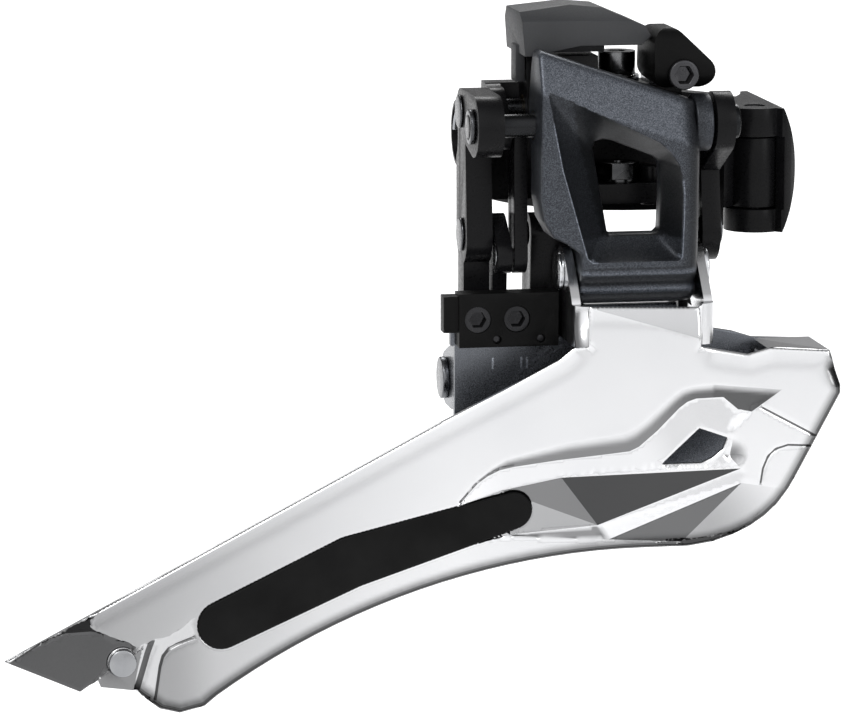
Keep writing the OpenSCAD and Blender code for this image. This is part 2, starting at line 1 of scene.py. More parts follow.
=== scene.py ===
"""Looks of the front derailleur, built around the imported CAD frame.

Lengths in the helpers are millimetres, and MM turns them into the frame's metres.
"""
import json
import math

import bmesh
import bpy
import numpy as np
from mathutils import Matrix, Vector, geometry


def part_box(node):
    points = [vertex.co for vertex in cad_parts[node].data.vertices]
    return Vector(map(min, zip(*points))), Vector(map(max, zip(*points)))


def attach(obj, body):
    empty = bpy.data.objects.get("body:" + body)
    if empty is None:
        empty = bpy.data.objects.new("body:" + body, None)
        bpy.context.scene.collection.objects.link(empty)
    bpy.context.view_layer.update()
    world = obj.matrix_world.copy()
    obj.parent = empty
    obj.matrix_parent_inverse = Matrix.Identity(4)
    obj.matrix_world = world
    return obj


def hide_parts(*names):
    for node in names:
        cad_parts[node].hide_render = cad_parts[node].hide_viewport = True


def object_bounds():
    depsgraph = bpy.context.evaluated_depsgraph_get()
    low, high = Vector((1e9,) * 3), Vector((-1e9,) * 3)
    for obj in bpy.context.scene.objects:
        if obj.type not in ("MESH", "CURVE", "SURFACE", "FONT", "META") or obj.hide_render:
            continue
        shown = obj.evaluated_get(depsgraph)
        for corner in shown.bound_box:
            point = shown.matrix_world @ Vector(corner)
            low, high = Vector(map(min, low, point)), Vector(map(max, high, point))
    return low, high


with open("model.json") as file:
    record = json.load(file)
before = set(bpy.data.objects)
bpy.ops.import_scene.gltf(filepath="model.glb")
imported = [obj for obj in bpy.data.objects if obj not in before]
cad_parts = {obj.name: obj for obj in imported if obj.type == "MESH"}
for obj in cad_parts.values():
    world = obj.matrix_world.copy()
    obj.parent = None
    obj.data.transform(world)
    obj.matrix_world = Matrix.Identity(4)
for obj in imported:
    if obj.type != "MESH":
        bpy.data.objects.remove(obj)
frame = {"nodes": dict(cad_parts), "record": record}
CAD_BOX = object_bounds()
MM = 0.001


# ---- camera, floor and light ----

AZIMUTH = math.radians(-10)
ELEVATION = math.radians(10)
CAMERA_DISTANCE = 620 * MM
CAMERA_LENS = 196.3
PLATE_LOW, PLATE_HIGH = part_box("outer_plate")
AIM = Vector((PLATE_LOW.x + 56.8 * MM, PLATE_LOW.y + 1 * MM, PLATE_HIGH.z - 13.5 * MM))
FLOOR_DROP = 90 * MM
FLOOR_RADIUS = 4
FLOOR_GLOW = 0.38
FRONT_DIRECTION = Vector((-0.25, -0.9, 0.36))
SKY_GREYS = [(0, 0.34), (0.45, 0.22), (0.62, 0.2), (0.74, 0.42), (0.86, 1.05), (1, 1.45)]


def add_camera():
    back = Vector((
        math.sin(AZIMUTH) * math.cos(ELEVATION),
        -math.cos(AZIMUTH) * math.cos(ELEVATION),
        math.sin(ELEVATION),
    ))
    data = bpy.data.cameras.new("camera")
    data.lens = CAMERA_LENS
    data.sensor_width = 36
    data.clip_start = 0.02
    camera = bpy.data.objects.new("camera", data)
    camera.location = AIM + back * CAMERA_DISTANCE
    camera.rotation_mode = "QUATERNION"
    camera.rotation_quaternion = (-back).to_track_quat("-Z", "Y")
    bpy.context.scene.collection.objects.link(camera)
    bpy.context.scene.camera = camera


def add_area(name, place, size, power, aim):
    data = bpy.data.lights.new(name, "AREA")
    data.shape = "RECTANGLE"
    data.size, data.size_y = size
    data.energy = power
    light = bpy.data.objects.new(name, data)
    light.location = place
    toward = Vector(aim) - Vector(place)
    light.rotation_mode = "QUATERNION"
    light.rotation_quaternion = toward.to_track_quat("-Z", "Y")
    bpy.context.scene.collection.objects.link(light)


def add_world():
    """Soft light from all round: a broad bright side in front, grey at the sides and overhead."""
    world = bpy.data.worlds.new("studio")
    world.use_nodes = True
    tree = world.node_tree
    tree.nodes.clear()
    out = tree.nodes.new("ShaderNodeOutputWorld")
    back = tree.nodes.new("ShaderNodeBackground")
    coords = tree.nodes.new("ShaderNodeTexCoord")
    front = tree.nodes.new("ShaderNodeVectorMath")
    front.operation = "DOT_PRODUCT"
    front.inputs[1].default_value = FRONT_DIRECTION.normalized()
    ramp = tree.nodes.new("ShaderNodeValToRGB")
    scale = tree.nodes.new("ShaderNodeMapRange")
    scale.inputs["From Min"].default_value = -1
    while len(ramp.color_ramp.elements) < len(SKY_GREYS):
        ramp.color_ramp.elements.new(0.5)
    for element, (place, grey) in zip(ramp.color_ramp.elements, SKY_GREYS):
        element.position = place
        element.color = (grey, grey, grey * 1.01, 1)
    links = tree.links
    links.new(coords.outputs["Generated"], front.inputs[0])
    links.new(front.outputs["Value"], scale.inputs["Value"])
    links.new(scale.outputs["Result"], ramp.inputs["Fac"])
    links.new(ramp.outputs["Color"], back.inputs["Color"])
    back.inputs["Strength"].default_value = 1
    links.new(back.outputs[0], out.inputs["Surface"])
    bpy.context.scene.world = world


def add_stage():
    floor_z = CAD_BOX[0].z - FLOOR_DROP
    bpy.ops.mesh.primitive_circle_add(
        vertices=96, radius=FLOOR_RADIUS, fill_type="NGON", location=(0, 0, floor_z))
    floor = bpy.context.object
    floor.name = "floor"
    material = bpy.data.materials.new("floor_paper")
    material.use_nodes = True
    shader = material.node_tree.nodes["Principled BSDF"]
    shader.inputs["Base Color"].default_value = (0.9, 0.9, 0.905, 1)
    shader.inputs["Roughness"].default_value = 0.9
    shader.inputs["Emission Color"].default_value = (1, 1, 1, 1)
    shader.inputs["Emission Strength"].default_value = FLOOR_GLOW
    floor.data.materials.append(material)
    add_world()
    middle = (CAD_BOX[0] + CAD_BOX[1]) / 2
    add_area("key", (-0.5, -0.5, 0.6), (0.45, 0.3), 3.2, middle)
    add_area("fill", (0.55, -0.75, 0.3), (0.25, 0.6), 1.6, middle)
    add_area("rim", (0.25, 0.6, 0.6), (0.8, 0.3), 3, middle)
    add_area("backdrop", (0, 1.6, 1.2), (2.5, 1), 22, (0, 2, -0.2))
    bpy.context.scene.view_settings.view_transform = "Standard"
    bpy.context.scene.view_settings.look = "None"
    bpy.context.scene.view_settings.exposure = 0


# ---- materials ----

class Nodes:
    """A short way to write a material's node tree."""

    def __init__(self, name):
        self.material = bpy.data.materials.new(name)
        self.material.use_nodes = True
        self.tree = self.material.node_tree
        self.shader = self.tree.nodes["Principled BSDF"]
        self.place = self.add("ShaderNodeTexCoord").outputs["Object"]

    def add(self, kind, **settings):
        node = self.tree.nodes.new(kind)
        for key, value in settings.items():
            setattr(node, key, value)
        return node

    def put(self, source, target):
        self.tree.links.new(source, target)

    def noise(self, scale, detail=3, rough=0.55):
        node = self.add("ShaderNodeTexNoise")
        node.inputs["Scale"].default_value = scale
        node.inputs["Detail"].default_value = detail
        node.inputs["Roughness"].default_value = rough
        self.put(self.place, node.inputs["Vector"])
        return node.outputs["Fac"]

    def cells(self, scale):
        node = self.add("ShaderNodeTexVoronoi")
        node.inputs["Scale"].default_value = scale
        self.put(self.place, node.inputs["Vector"])
        return node.outputs["Color"]

    def span(self, value, low, high, start=0.0, stop=1.0):
        node = self.add("ShaderNodeMapRange")
        for key, number in (("From Min", start), ("From Max", stop), ("To Min", low), ("To Max", high)):
            node.inputs[key].default_value = number
        self.put(value, node.inputs["Value"])
        return node.outputs["Result"]

    def mix(self, factor, first, second):
        node = self.add("ShaderNodeMix", data_type="RGBA")
        self.put(factor, node.inputs["Factor"])
        for socket, colour in ((node.inputs[6], first), (node.inputs[7], second)):
            if isinstance(colour, tuple):
                socket.default_value = (*colour, 1)
            else:
                self.put(colour, socket)
        return node.outputs[2]

    def times(self, first, second):
        node = self.add("ShaderNodeMix", data_type="RGBA", blend_type="MULTIPLY")
        node.inputs["Factor"].default_value = 1
        self.put(first, node.inputs[6])
        self.put(second, node.inputs[7])
        return node.outputs[2]

    def bump(self, height, distance, strength=1.0):
        node = self.add("ShaderNodeBump")
        node.inputs["Strength"].default_value = strength
        node.inputs["Distance"].default_value = distance
        self.put(height, node.inputs["Height"])
        self.put(node.outputs["Normal"], self.shader.inputs["Normal"])

    def tone(self):
        node = self.add("ShaderNodeAttribute", attribute_name="tone")
        return node.outputs["Color"]

    def clouded(self, scale, detail, dark, light):
        """A base colour that drifts slowly between two greys, times the piece's tone."""
        drift = self.span(self.noise(scale, detail), 0, 1, 0.3, 0.7)
        self.put(self.times(self.mix(drift, dark, light), self.tone()), self.shader.inputs["Base Color"])

    def grained(self, scale, detail, low, high, relief, strength=1.0):
        """A fine grain in the roughness, between low and high, and in the relief."""
        grain = self.noise(scale, detail)
        self.put(self.span(grain, low, high, 0.35, 0.65), self.shader.inputs["Roughness"])
        self.bump(grain, relief, strength)

    def finish(self, metallic, **settings):
        self.shader.inputs["Metallic"].default_value = metallic
        for key, value in settings.items():
            self.shader.inputs[key.replace("_", " ")].default_value = value
        return self.material


def polished_cage():
    n = Nodes("polished_cage")
    n.clouded(45, 2, (0.66, 0.665, 0.675), (0.71, 0.713, 0.72))
    n.grained(2500, 2, 0.17, 0.21, 0.000003, 0.2)
    return n.finish(1.0)


def dark_cage():
    n = Nodes("dark_cage")
    n.clouded(110, 3, (0.085, 0.09, 0.1), (0.13, 0.137, 0.15))
    n.grained(5200, 2, 0.24, 0.34, 0.000006, 0.4)
    return n.finish(1.0)


def painted_link():
    """Dark grey paint with metal flakes."""
    n = Nodes("painted_link")
    flake = n.span(n.cells(11000), 0, 1, 0.35, 1)
    paint = n.mix(flake, (0.03, 0.034, 0.042), (0.125, 0.136, 0.156))
    n.put(n.times(paint, n.tone()), n.shader.inputs["Base Color"])
    n.grained(7000, 2, 0.38, 0.48, 0.000005, 0.4)
    return n.finish(0.75, Coat_Weight=0.1, Coat_Roughness=0.25)


def black_finish(name, dark, light, rough, grain_scale, relief, metallic=0.0, specular=0.3):
    n = Nodes(name)
    n.clouded(140, 3, dark, light)
    n.grained(grain_scale, 3, rough - 0.05, rough + 0.07, relief)
    return n.finish(metallic, Specular_IOR_Level=specular)


def turned_steel(name, dark, light, rough):
    n = Nodes(name)
    n.clouded(240, 3, dark, light)
    n.grained(3200, 2, rough - 0.05, rough + 0.07, 0.000003, 0.3)
    return n.finish(1.0)


MATERIALS = {
    "polished_cage": polished_cage(),
    "dark_cage": dark_cage(),
    "painted_link": painted_link(),
    "black_metal": black_finish(
        "black_metal", (0.003, 0.003, 0.0033), (0.005, 0.005, 0.0056), 0.3, 2600, 0.000005, specular=0.11),
    "cover_grey": black_finish(
        "cover_grey", (0.022, 0.023, 0.025), (0.028, 0.029, 0.031), 0.5, 3800, 0.00001),
    "black_plastic": black_finish(
        "black_plastic", (0.0025, 0.0025, 0.0025), (0.005, 0.005, 0.005), 0.42, 3000, 0.000008,
        specular=0.065),
    "black_screw": black_finish(
        "black_screw", (0.03, 0.03, 0.032), (0.045, 0.045, 0.048), 0.3, 2400, 0.000004, 0.8),
    "bright_steel": turned_steel("bright_steel", (0.5, 0.51, 0.53), (0.62, 0.63, 0.64), 0.2),
    "pin_steel": turned_steel("pin_steel", (0.2, 0.21, 0.225), (0.28, 0.285, 0.3), 0.26),
    "spring_steel": turned_steel("spring_steel", (0.3, 0.31, 0.33), (0.4, 0.41, 0.42), 0.3),
    "bush_bronze": turned_steel("bush_bronze", (0.5, 0.36, 0.18), (0.62, 0.46, 0.25), 0.35),
}


# ---- mesh helpers ----

def body_of_node(node):
    groups = frame["record"]["behaviour"]["bodies"]
    return next(body for body, members in groups.items() if node in members)


def slot_of_node(node):
    return next(s["material_slot"] for s in frame["record"]["subparts"] if s["node"] == node)


def place_piece(obj, node, sharp=28, replaces=True):
    """Gives a finished piece its shading, material, slot and body, as the CAD node has them."""
    slot = slot_of_node(node)
    obj.data.materials.clear()
    obj.data.materials.append(MATERIALS[slot])
    for polygon in obj.data.polygons:
        polygon.use_smooth = True
    obj.data.set_sharp_from_angle(angle=math.radians(sharp))
    if "tone" not in obj.data.attributes:
        give_tone(obj.data, np.ones(len(obj.data.vertices)))
    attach(obj, body_of_node(node))
    if replaces:
        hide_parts(node)
    return obj


def give_tone(mesh, values):
    attribute = mesh.attributes.new("tone", "FLOAT_COLOR", "POINT")
    colours = np.repeat(np.asarray(values, np.float32)[:, None], 4, axis=1)
    colours[:, 3] = 1
    attribute.data.foreach_set("color", colours.ravel())


def new_object(name, mesh):
    obj = bpy.data.objects.new(name, mesh)
    bpy.context.scene.collection.objects.link(obj)
    return obj


def apply_modifiers(obj):
    bpy.context.view_layer.update()
    evaluated = obj.evaluated_get(bpy.context.evaluated_depsgraph_get())
    mesh = bpy.data.meshes.new_from_object(evaluated)
    obj.modifiers.clear()
    obj.data = mesh


def bevel(obj, width, segments=3, angle=30):
    modifier = obj.modifiers.new("bevel", "BEVEL")
    modifier.width = width * MM
    modifier.segments = segments
    modifier.limit_method = "ANGLE"
    modifier.angle_limit = math.radians(angle)
    modifier.use_clamp_overlap = True
    apply_modifiers(obj)


def dressed(node, width=0.25, segments=3, sharp=32, tone=1.0):
    """The CAD node's own shape with its edges broken, as a machined, moulded or cast piece has them."""
    mesh = frame["nodes"][node].data.copy()
    obj = new_object(node + "_dressed", mesh)
    work = bmesh.new()
    work.from_mesh(mesh)
    bmesh.ops.remove_doubles(work, verts=work.verts, dist=1e-6)
    bmesh.ops.dissolve_limit(work, angle_limit=math.radians(1), verts=work.verts, edges=work.edges)
    work.to_mesh(mesh)
    work.free()
    bevel(obj, width, segments)
    give_tone(obj.data, np.full(len(obj.data.vertices), tone))
    return place_piece(obj, node, sharp)


# ---- the outer cage plate's relief, drawn as (x, z) lines in millimetres ----

PLATE_Y = PLATE_LOW.y / MM
SHEET = 1.2
STEP_DEPTH = 0.8
RIDGE_DEPTH = 0.25

STEP_LINE = [
    (-31.2, -41.8), (-29.2, -39.4), (-26.7, -37.4), (-24.6, -36.2), (-16, -34.2), (-8.6, -33.3),
    (-7, -32.7), (-5.4, -31.6), (-1.5, -28.2), (-0.4, -27.4), (1, -27), (4, -26.8), (13.6, -27.8),
]
FOOT_LINE = [
    (-30.9, -42.3), (-29.6, -40.8), (-28.5, -39.6), (-27.1, -38.6), (-25.4, -37.8), (-23.4, -37.4),
    (-17.4, -36.7), (-10.5, -36.1), (-7.4, -35.8), (-6.1, -35.2), (-3.6, -33.1), (-0.5, -30), (0.6, -29.2),
    (1.8, -28.8), (5.6, -28.7),
]
RIDGE_LINE = [(-31, -42.4), (-25.3, -40.5), (-17, -39), (-3.2, -38.1), (8, -38.6)]
NOSE_EDGE = [(13.6, -27.8), (9.4, -30.7), (7.2, -32.9), (6.8, -34.8), (6.6, -37), (8, -38.6)]
NOSE_CORNER = [(13.6, -27.8), (9.4, -30.7), (7.6, -30.4)]
NOSE_TURN = [(12.6, -28.1), (8.9, -30.3), (6.5, -32.7), (6, -34.8)]
WINDOW_BEND = [(3, -37.6), (4.6, -37.2), (6, -36), (6.5, -34.6)]
DIMPLE = (6.9, -36.6)
FACET_POINTS = {
    "a": (-31, -42.4, 0.3), "b": (-25.3, -40.5, 0.25), "c": (-17, -39, 0.25), "d": (8, -38.6, 0.2),
    "e": (-11.6, -46.1, 1.7), "f": (-10.4, -47.8, 0.15), "g": (8.1, -40.6, 0.1), "h": (0, -48.7, 1),
    "i": (-24, -46.7, 0.45), "m": (8, -47.4, 0.25), "n": (14, -41.6, 0), "j": (-33, -48.4, 0.3),
}
# Facets by their corners, each with its grey: partly the facet's satin finish, partly painted shade for how
# it is tilted.
FACETS = (
    ("bce", 0.27), ("cde", 0.09), ("bei", 0.52), ("abi", 0.56), ("edg", 1), ("egf", 1), ("fgh", 0.2),
    ("efi", 0.95), ("ghm", 0.55), ("gmn", 0.7), ("aij", 0.7),
)
NOSE_FACE = [(0, -48.7), (8.1, -40.6), (14, -41.6), (24, -41.6), (24, -52), (0, -52)]
GROOVES = (
    [(10.9, -30.2), (18.6, -34.4)],
    [(18, -35.7), (14.6, -35.5), (12.9, -36), (11.8, -37), (11.1, -38.7), (10.8, -40.7)],
)
NECK_CREASE = [(-13.2, -15.8), (0.8, -20), (4.4, -21.2)]
TAIL_PANEL = [
    (-93.4, -62.4), (-91.6, -61.3), (-87.9, -59), (-84.6, -57.9), (-81.2, -57.8), (-78.2, -58.7),
    (-75.2, -60.1), (-82.8, -66.4),
]
TAIL_TAB = [(-82.8, -66.4), (-75.2, -60.1), (-75.4, -62), (-76, -67.5), (-78, -70), (-83, -68)]
TAIL_CREASE = [
    (-91.9, -61.5), (-87.9, -59.1), (-84.6, -58), (-81.2, -57.9), (-79.6, -58.3), (-81.4, -57.2),
    (-81.3, -56.3), (-80.6, -55.6), (-84, -57.2),
]
BODY_END = [(-80.2, -55.2), (-81.3, -56.2), (-81.4, -57.1), (-79.8, -58), (-76.1, -59.5), (-74.6, -60)]
TAIL_VALLEY = [(-73, -59.4), (-73.6, -61), (-75.2, -66.4)]
TAIL_STEP = [(-67.4, -59.2), (-69.6, -60), (-70.8, -60.6), (-71.6, -61.6), (-72, -63), (-72.7, -67.6)]
BODY_LOW_EDGE = [(-74.6, -60), (-72.7, -59.1), (-71.1, -59), (-68.9, -57.9), (-67.3, -56.4)]
TAIL_LOW_EDGE = [(-93, -62.3), (-82.8, -66.4)]

STEP_FIELD = STEP_LINE + NOSE_EDGE[1:] + RIDGE_LINE[::-1][1:]
STEP_BAND = STEP_LINE + NOSE_CORNER + FOOT_LINE[::-1]
BELOW_RIDGE = RIDGE_LINE + [(8, -60), (-31, -60)]
TAIL_HOLLOW = BODY_LOW_EDGE + TAIL_STEP + [(-76, -67.5), (-75.4, -62)]
TAIL_FLAT = TAIL_STEP + [(-70, -69), (-64, -67.5), (-62, -61.6), (-67.2, -59.2)]

TOP_FALL = 0.32
TOP_WIDTH = 3.2
RIM_FALL = 0.75
RIM_WIDTH = 1.1
EDGE_ROLL = 0.3
GROOVE_DEPTH = 0.18
GROOVE_HALF = 0.26
VALLEY_HALF = 0.4
TAIL_STEP_HALF = 0.16
BEND_DEPTH = 0.4
DIMPLE_DEPTH = 0.75
CORNER_NUDGE = 0.06

GRID = 0.5
BACK_GRID = 1.0
EDGE_ROWS = (0.07, 0.17, 0.3, 0.5, 0.8)
# Painted shade along the lower rim: near-black within the edge width, grey out to the foot, then fading out.
RIM_SHADE_EDGE = 0.5
RIM_SHADE_FOOT = 0.8
CREASE_STEP = 0.6
GROOVE_STEP = 0.5
LONG_EDGE = 0.8
BORDER_STEP = 0.6
PROBE = 0.02
WELD = 0.004
BLOCK = 400


def to_line(points, line):
    """Distance from each point to the line, and whether the point is on the line's right side."""
    line = np.asarray(line, float)
    start, run = line[:-1], np.diff(line, axis=0)
    offset = points[:, None, :] - start[None]
    along = np.clip((offset * run).sum(2) / (run * run).sum(1), 0, 1)
    gap = offset - along[..., None] * run
    distance = np.hypot(gap[..., 0], gap[..., 1])
    nearest = distance.argmin(1)
    rows = np.arange(len(points))
    cross = run[nearest, 0] * offset[rows, nearest, 1] - run[nearest, 1] * offset[rows, nearest, 0]
    return distance[rows, nearest], cross < 0


def crossings(points, start, stop):
    """How many of the segments from start to stop lie to the right of each point."""
    x, z = points[:, 0:1], points[:, 1:2]
    crosses = (start[:, 1] > z) != (stop[:, 1] > z)
    with np.errstate(divide="ignore", invalid="ignore"):
        reach = start[:, 0] + (z - start[:, 1]) * (stop[:, 0] - start[:, 0]) / (stop[:, 1] - start[:, 1])
    return ((x < reach) & crosses).sum(1)


def inside(points, polygon):
    polygon = np.asarray(polygon, float)
    following = np.roll(polygon, -1, axis=0)
    return crossings(points, polygon, following) % 2 == 1


def in_triangle(points, corners):
    a, b, c = (np.asarray(k[:2], float) for k in corners)
    det = (b[0] - a[0]) * (c[1] - a[1]) - (c[0] - a[0]) * (b[1] - a[1])
    u = ((points[:, 0] - a[0]) * (c[1] - a[1]) - (c[0] - a[0]) * (points[:, 1] - a[1])) / det
    v = ((b[0] - a[0]) * (points[:, 1] - a[1]) - (points[:, 0] - a[0]) * (b[1] - a[1])) / det
    level = corners[0][2] + u * (corners[1][2] - corners[0][2]) + v * (corners[2][2] - corners[0][2])
    return (u >= -1e-6) & (v >= -1e-6) & (u + v <= 1 + 1e-6), level


def smooth(value):
    value = np.clip(value, 0, 1)
    return value * value * (3 - 2 * value)


def share(near, far):
    """How far each point has come from one line to another, 0 to 1, by its distances to both."""
    return near / (near + far + 1e-6)


def neck_zone(points):
    """The slope above the neck's crease, with the distance to that crease."""
    gap, below = to_line(points, NECK_CREASE)
    return ~below & (points[:, 0] > -16) & (points[:, 0] < 5) & (points[:, 1] > -22), gap


def step_zones(points):
    """The field under the step, the band sloping down to it, and the distances to the band's two edges."""
    step_gap, _ = to_line(points, STEP_LINE)
    foot_gap, _ = to_line(points, FOOT_LINE)
    return inside(points, STEP_FIELD), inside(points, STEP_BAND), step_gap, foot_gap


def hollow_zone(points):
    """The hollow behind the tail's pressed step, with the distances to its valley and to the step."""
    valley_gap, _ = to_line(points, TAIL_VALLEY)
    step_gap, _ = to_line(points, TAIL_STEP)
    return inside(points, TAIL_HOLLOW), valley_gap, step_gap


def dimple_distance(points):
    return np.hypot(points[:, 0] - DIMPLE[0], points[:, 1] - DIMPLE[1])


def field_depth(points, depth):
    """Sinks the field between the step and the ridge, and the flat facets beside it."""
    field, band, step_gap, foot_gap = step_zones(points)
    ridge_gap, _ = to_line(points, RIDGE_LINE)
    nose_gap, _ = to_line(points, NOSE_EDGE)
    slope = STEP_DEPTH * share(step_gap, foot_gap) ** 1.6
    ledge = RIDGE_DEPTH + (STEP_DEPTH - RIDGE_DEPTH) * share(ridge_gap, foot_gap)
    depth = np.where(field, np.where(band, slope, ledge) * smooth(nose_gap / 0.8), depth)
    for names, _ in FACETS:
        within, level = in_triangle(points, [FACET_POINTS[k] for k in names])
        depth = np.where(within & ~field, level, depth)
    return depth


def window_depth(points, depth):
    """Bends the lip beside the window inward, and presses the dimple."""
    beside = ~inside(points, BELOW_RIDGE)
    bend_gap, _ = to_line(points, WINDOW_BEND)
    bend = BEND_DEPTH * np.clip(1 - bend_gap / 1.1, 0, 1) ** 1.7
    depth = np.where(beside, np.maximum(depth, bend), depth)
    dimple = DIMPLE_DEPTH * np.clip(1 - (dimple_distance(points) / 1.5) ** 2, 0, 1)
    return np.where(beside, np.maximum(depth, dimple), depth)


def tail_depth(points, depth):
    """The panel that is ground into the tail, its crease, and the pressed step beside it."""
    low_gap, _ = to_line(points, TAIL_LOW_EDGE)
    depth = np.where(inside(points, TAIL_PANEL), 0.25 + 0.06 * low_gap, depth)
    depth = np.where(inside(points, TAIL_CREASE), 0.85, depth)
    hollow, valley_gap, step_gap = hollow_zone(points)
    swell = 0.55 - 0.25 * np.exp(-((valley_gap - 1.1) / 0.45) ** 2)
    depth = np.where(hollow, swell + 0.25 * np.exp(-(valley_gap / VALLEY_HALF) ** 2), depth)
    beside = 0.12 * np.exp(-(step_gap / 0.3) ** 2) * (points[:, 0] < -66)
    return depth + np.where(hollow, 0, beside)


def plate_depth(points, rim_gap, top_gap, edge_gap):
    """How far each point of the plate's front lies behind its highest plane."""
    depth = TOP_FALL * np.clip(1 - top_gap / TOP_WIDTH, 0, 1) ** 2
    neck, crease_gap = neck_zone(points)
    depth[neck] += 0.16 * crease_gap[neck]
    depth = window_depth(points, field_depth(points, depth))
    for groove in GROOVES:
        gap, _ = to_line(points, groove)
        depth += GROOVE_DEPTH * np.clip(1 - gap / GROOVE_HALF, 0, 1)
    depth = tail_depth(points, depth)
    depth += RIM_FALL * np.clip(1 - rim_gap / RIM_WIDTH, 0, 1) ** 1.6
    roll = np.clip(1 - edge_gap / EDGE_ROLL, 0, 1)
    return depth + 0.22 * (1 - np.sqrt(1 - roll * roll))


def step_tone(points, tone):
    """Painted shade: the band under the step darkening towards its foot and darkest in its corner, a painted
    shadow round the dimple, the facets' greys, and the nose face lighter towards its upper right.
    """
    field, band, step_gap, foot_gap = step_zones(points)
    drop = 0.66 + 0.12 * smooth((points[:, 0] + 5) / 8)
    tone = np.where(band, 0.95 - drop * smooth(1.7 * share(step_gap, foot_gap)), tone)
    # Painted shade in the band's corner beside the nose.
    corner = 0.14 + 0.6 * (1 - smooth(step_gap / 0.9))
    tone = np.where(band & (points[:, 0] > 4), corner, tone)
    shadow = 1 - 0.72 * np.clip(1 - (dimple_distance(points) / 2.1) ** 2, 0, 1)
    dimpled = ~field & (points[:, 1] > -38.4) & (points[:, 0] > 4)
    tone = np.where(dimpled, tone * shadow, tone)
    # Each facet's grey: partly its satin finish, partly painted shade for its tilt.
    for names, shade in FACETS:
        within, _ = in_triangle(points, [FACET_POINTS[k] for k in names])
        tone = np.where(within & ~field, shade, tone)
    # Painted shade across the nose face, lighter towards its upper right.
    nose = inside(points, NOSE_FACE) & ~field
    return np.where(nose, 0.5 + 0.5 * smooth((points[:, 0] + 0.75 * points[:, 1] + 32) / 17), tone)


def tail_tone(points, tone):
    """The ground panel's dark grey, the tab's grey, and painted shade: the near-black crease, the hollow
    behind the pressed step with its darker valley, the step's painted shadow lines, and the flat darker
    towards the tail's end.
    """
    tone = np.where(inside(points, TAIL_TAB), 0.22, tone)
    tone = np.where(inside(points, TAIL_PANEL), 0.135, tone)
    # Painted shade in the panel's crease.
    tone = np.where(inside(points, TAIL_CREASE), 0.03, tone)
    hollow, valley_gap, step_gap = hollow_zone(points)
    # Painted shade in the hollow behind the pressed step, darkest along its valley.
    tone = np.where(hollow, np.where(valley_gap < VALLEY_HALF, 0.14, 0.75), tone)
    # Painted shadow lines along the pressed step.
    tone = np.where(step_gap < TAIL_STEP_HALF, 0.1, tone)
    # Painted shade on the flat beside the step, darker towards the tail's end.
    fade = 0.42 + (tone - 0.42) * smooth((points[:, 0] + 71.5) / 8)
    return np.where(inside(points, TAIL_FLAT) & (step_gap >= TAIL_STEP_HALF), fade, tone)


def plate_tone(points, rim_gap):
    """How bright the plate's colour is: polished faces, satin facets partly darkened as painted shade, and
    painted shade towards the tail, on the neck slope, in the grooves and along the lower rim.
    """
    # Painted shade: the polished faces darker towards the tail.
    tone = 0.4 + 0.6 * smooth((points[:, 0] + 92) / 66)
    # Painted shade on the slope above the neck's crease, where the sheet is bent.
    neck, _ = neck_zone(points)
    tone[neck] *= 0.75
    tone = step_tone(points, tone)
    # Painted shade in the grooves.
    for groove in GROOVES:
        gap, _ = to_line(points, groove)
        tone = np.where(gap < GROOVE_HALF / 2, 0.16, tone)
    tone = tail_tone(points, tone)
    # Painted shade along the lower rim: a near-black line, a grey strip beside it, then a fade to the full
    # tone.
    rim_shade_fade = 0.32 + 0.68 * smooth((rim_gap - RIM_SHADE_FOOT) / 1.2)
    bevel = np.where(rim_gap < RIM_SHADE_EDGE, 0.04, 0.16)
    return tone * np.where(rim_gap < RIM_SHADE_FOOT, bevel, rim_shade_fade)


def divide_line(line, step):
    """The line's points, with more between them so that no stretch is longer than the step."""
    line = np.asarray(line, float)
    points = [line[0]]
    for a, b in zip(line[:-1], line[1:]):
        count = max(1, int(np.ceil(np.hypot(*(b - a)) / step)))
        points += [a + (b - a) * k / count for k in range(1, count + 1)]
    return np.array(points)


def offset_line(line, gap):
    """The line moved sideways by the gap, to its left."""
    line = np.asarray(line, float)
    run = np.gradient(line, axis=0)
    run /= np.hypot(run[:, 0], run[:, 1])[:, None]
    return line + gap * np.stack([-run[:, 1], run[:, 0]], 1)


def plate_creases():
    """The lines that the net's edges follow, so that each change of level or of tone is crisp."""
    lines = [STEP_LINE, FOOT_LINE, NOSE_TURN, RIDGE_LINE, NOSE_EDGE, [FOOT_LINE[-1]] + NOSE_CORNER[::-1]]
    lines += [TAIL_PANEL, TAIL_CREASE, BODY_END, BODY_LOW_EDGE, NECK_CREASE]
    lines += [[FACET_POINTS[k][:2] for k in names + names[0]] for names, _ in FACETS]
    for groove in GROOVES:
        middle = divide_line(groove, GROOVE_STEP)
        lines += [offset_line(middle, GROOVE_HALF * part) for part in (-1, -0.5, 0, 0.5, 1)]
    step, valley = divide_line(TAIL_STEP, CREASE_STEP), divide_line(TAIL_VALLEY, CREASE_STEP)
    lines += [offset_line(step, TAIL_STEP_HALF * times) for times in (-2, -1, 1, 2)]
    lines += [offset_line(valley, VALLEY_HALF * side) for side in (-1, 1)]
    return [divide_line(line, CREASE_STEP) for line in lines]


# ---- nets of triangles over flat regions ----

def hex_points(low, high, step):
    """Evenly spread points, in rows that are each shifted by half a step against the next."""
    rows = np.arange(low[1], high[1], step * 0.866)
    grid = []
    for k, z in enumerate(rows):
        xs = np.arange(low[0] + (k % 2) * step / 2, high[0], step)
        grid.append(np.stack([xs, np.full(len(xs), z)], 1))
    return np.concatenate(grid)


def add_creases(parts, links, creases, allowed):
    """Adds the crease lines to a net's points and links, where they run over allowed ground."""
    count = sum(len(part) for part in parts)
    for line in creases:
        keep = allowed(line)
        parts.append(line)
        links += [(count + k, count + k + 1) for k in range(len(line) - 1) if keep[k] and keep[k + 1]]
        count += len(line)


